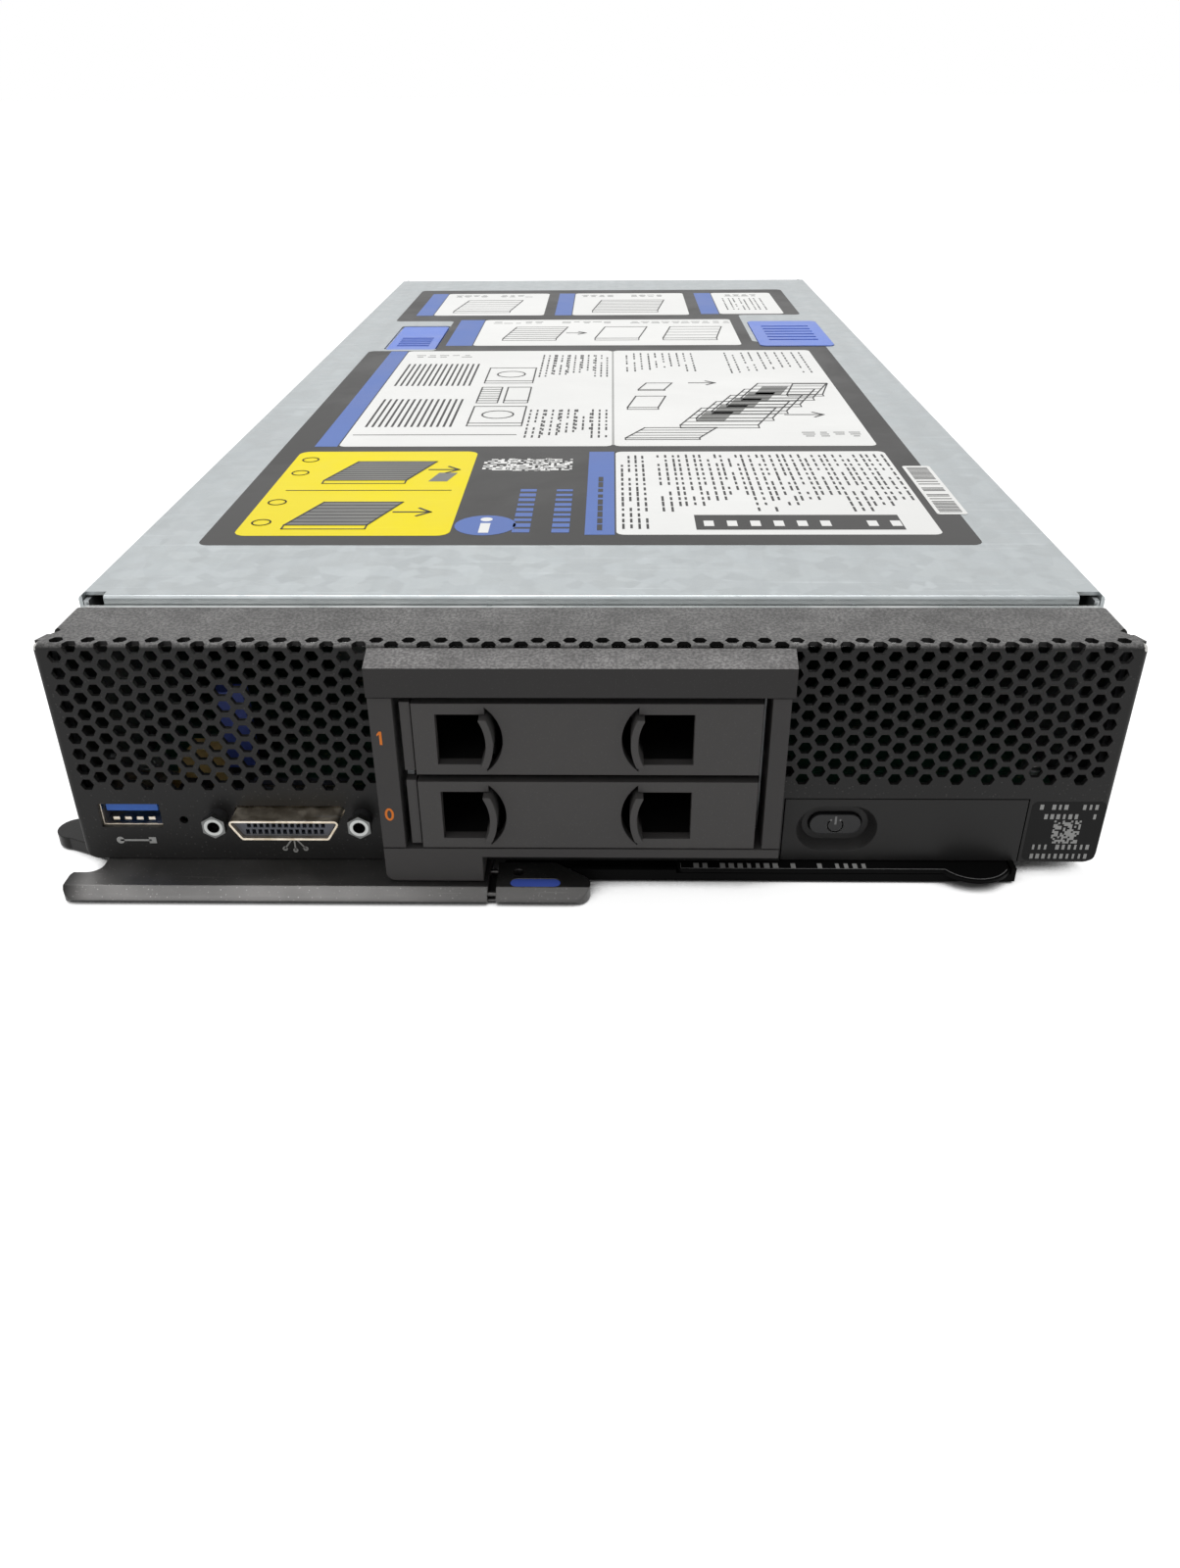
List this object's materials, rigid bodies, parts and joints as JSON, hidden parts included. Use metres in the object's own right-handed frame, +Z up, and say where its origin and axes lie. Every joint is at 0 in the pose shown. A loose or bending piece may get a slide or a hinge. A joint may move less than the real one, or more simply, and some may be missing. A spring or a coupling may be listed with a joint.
{
  "type": "blade server",
  "caption": "Half-wide blade compute node: honeycomb bezel, drive bays with blanking fillers, front ports, cam lever and a sliding steel cover.",
  "frame": {"origin": "middle of the rest face under the pan: centred across the width and half-way between the bezel front and the rear of the pan", "axes": "+X to the right seen from the front, +Y from the bezel towards the rear connectors, +Z up from the rest face to the cover"},
  "size_m": [0.225, 0.493, 0.0539],
  "materials": {
    "bezel_paint": "satin black powder coat",
    "black_plastic": "fine texture",
    "blue_plastic": "satin",
    "board": "solder mask",
    "cast_lever": "satin grey paint",
    "connector": "moulded",
    "fin_aluminium": "satin",
    "galvanized_steel": "matt zinc-plated sheet",
    "plated_steel": "bright zinc plate",
    "port_tin": "worn tin plate"
  },
  "bodies": {
    "chassis": {"base_pan": "galvanized_steel", "front_bezel": "bezel_paint", "front_rail": "galvanized_steel", "bay_surround": "black_plastic", "drive_cage": "galvanized_steel", "power_panel": "black_plastic", "button_board": "board", "reset_switch": "connector", "usb_shell": "port_tin", "usb_tongue": "blue_plastic", "console_shell": "port_tin", "console_insert": "connector", "jack_posts": "plated_steel", "label_tray": "bezel_paint", "lever_pivot_pin": "plated_steel", "system_board": "board", "board_standoffs": "plated_steel", "board_screws": "plated_steel", "drive_backplane": "board", "drive_connectors": "connector", "cpu_socket_front": "plated_steel", "cpu_socket_rear": "plated_steel", "heat_sink_front": "fin_aluminium", "heat_sink_rear": "fin_aluminium", "sink_screws": "plated_steel", "dimm_sockets_left": "connector", "dimm_sockets_right": "connector", "dimms_left": "board", "dimms_right": "board", "air_baffle": "black_plastic", "power_coils": "connector", "chipset_sink": "fin_aluminium", "coin_cell": "connector", "touch_point": "blue_plastic", "adapter_left": "board", "adapter_right": "board", "adapter_posts": "plated_steel", "power_connector": "connector", "signal_connector": "connector", "fabric_connectors": "connector", "rear_bulkhead": "galvanized_steel", "guide_sockets": "fin_aluminium", "bezel_screws": "plated_steel", "cage_screws": "plated_steel"},
    "lever": {"lever_arm": "cast_lever", "latch_guide_pins": "plated_steel"},
    "latch": {"lever_latch": "cast_lever", "latch_pad": "blue_plastic"},
    "label_tab": {"label_tab": "bezel_paint"},
    "power_button": {"power_button": "black_plastic"},
    "upper_filler": {"filler_upper": "black_plastic"},
    "lower_filler": {"filler_lower": "black_plastic"},
    "upper_left_tab": {"finger_tab_upper_left": "black_plastic"},
    "upper_right_tab": {"finger_tab_upper_right": "black_plastic"},
    "lower_left_tab": {"finger_tab_lower_left": "black_plastic"},
    "lower_right_tab": {"finger_tab_lower_right": "black_plastic"},
    "cover": {"top_cover": "galvanized_steel", "cover_catch": "black_plastic", "cover_pad": "blue_plastic"},
    "cover_release": {"cover_release": "blue_plastic"}
  },
  "joints": [
    {"name": "lever_swing", "type": "hinge", "parent": "chassis", "child": "lever", "pos_m": [-0.095, -0.2285, 0.0016], "axis": [0, 0, -1], "range_deg": [0, 90]},
    {"name": "latch_slide", "type": "slide", "parent": "lever", "child": "latch", "axis": [-1, 0, 0], "range_m": [0, 0.0014], "stiffness_N_per_m": 400},
    {"name": "label_pull", "type": "slide", "parent": "chassis", "child": "label_tab", "axis": [0, -1, 0], "range_m": [0, 0.055]},
    {"name": "power_press", "type": "slide", "parent": "chassis", "child": "power_button", "axis": [0, 1, 0], "range_m": [0, 0.0015], "stiffness_N_per_m": 600},
    {"name": "upper_filler_pull", "type": "slide", "parent": "chassis", "child": "upper_filler", "axis": [0, -1, 0], "range_m": [0, 0.08]},
    {"name": "lower_filler_pull", "type": "slide", "parent": "chassis", "child": "lower_filler", "axis": [0, -1, 0], "range_m": [0, 0.08]},
    {"name": "upper_left_pinch", "type": "hinge", "parent": "upper_filler", "child": "upper_left_tab", "pos_m": [-0.0187, -0.2225, 0.0365], "axis": [0, 0, 1], "range_deg": [0, 2], "stiffness_Nm_per_rad": 0.5},
    {"name": "upper_right_pinch", "type": "hinge", "parent": "upper_filler", "child": "upper_right_tab", "pos_m": [0.0096, -0.2225, 0.0365], "axis": [0, 0, -1], "range_deg": [0, 2], "stiffness_Nm_per_rad": 0.5},
    {"name": "lower_left_pinch", "type": "hinge", "parent": "lower_filler", "child": "lower_left_tab", "pos_m": [-0.0187, -0.2225, 0.01935], "axis": [0, 0, 1], "range_deg": [0, 2], "stiffness_Nm_per_rad": 0.5},
    {"name": "lower_right_pinch", "type": "hinge", "parent": "lower_filler", "child": "lower_right_tab", "pos_m": [0.0096, -0.2225, 0.01935], "axis": [0, 0, -1], "range_deg": [0, 2], "stiffness_Nm_per_rad": 0.5},
    {"name": "cover_slide", "type": "slide", "parent": "chassis", "child": "cover", "axis": [0, 1, 0], "range_m": [0, 0.014]},
    {"name": "cover_release_press", "type": "slide", "parent": "cover", "child": "cover_release", "axis": [0, 0, -1], "range_m": [0, 0.002], "stiffness_N_per_m": 800}
  ]
}
